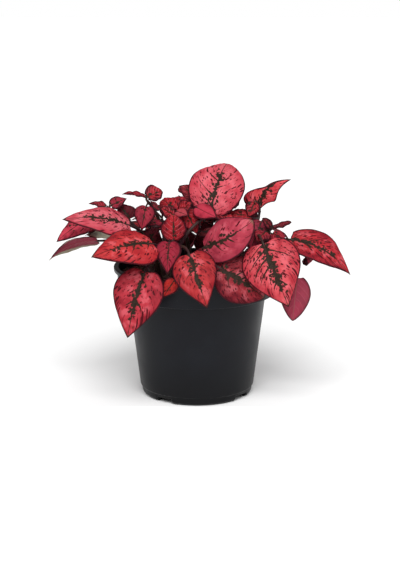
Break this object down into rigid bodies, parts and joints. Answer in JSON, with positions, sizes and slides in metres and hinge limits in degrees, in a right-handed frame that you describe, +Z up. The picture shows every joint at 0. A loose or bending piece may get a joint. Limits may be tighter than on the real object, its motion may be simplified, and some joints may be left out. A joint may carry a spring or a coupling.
{
  "type": "potted polka dot plant",
  "caption": "Bushy houseplant with red and pink spotted pointed leaves, growing in a round black plastic nursery pot filled with peat.",
  "frame": {"origin": "on the ground, under the middle of the pot and of the whole plant", "axes": "+Z up, the front of the plant towards -Y, the widest spread of the leaves along X"},
  "size_m": [0.2146, 0.1588, 0.1649],
  "materials": {
    "pot_plastic": "moulded black polypropylene, satin",
    "peat": "loose dark potting peat, rough",
    "leaf": "soft leaf, pink to red with dark green-brown blotches along the midrib",
    "stem": "dark purple-brown stem, satin"
  },
  "bodies": {
    "root": {"pot": "pot_plastic", "soil": "peat", "shoot_left": "leaf", "shoot_left_low": "leaf", "shoot_front_left": "leaf", "shoot_mid_left": "leaf", "shoot_centre": "leaf", "shoot_front_right": "leaf", "shoot_right": "leaf", "shoot_far_right": "leaf", "shoot_top": "leaf", "shoot_top_right": "leaf", "shoot_heart": "leaf", "shoot_back_far_right": "leaf", "shoot_back_right": "leaf", "shoot_back_mid_right": "leaf", "shoot_back_mid_left": "leaf", "shoot_back_left": "leaf", "shoot_back_far_left": "leaf", "shoot_back_inner": "leaf"}
  },
  "joints": []
}
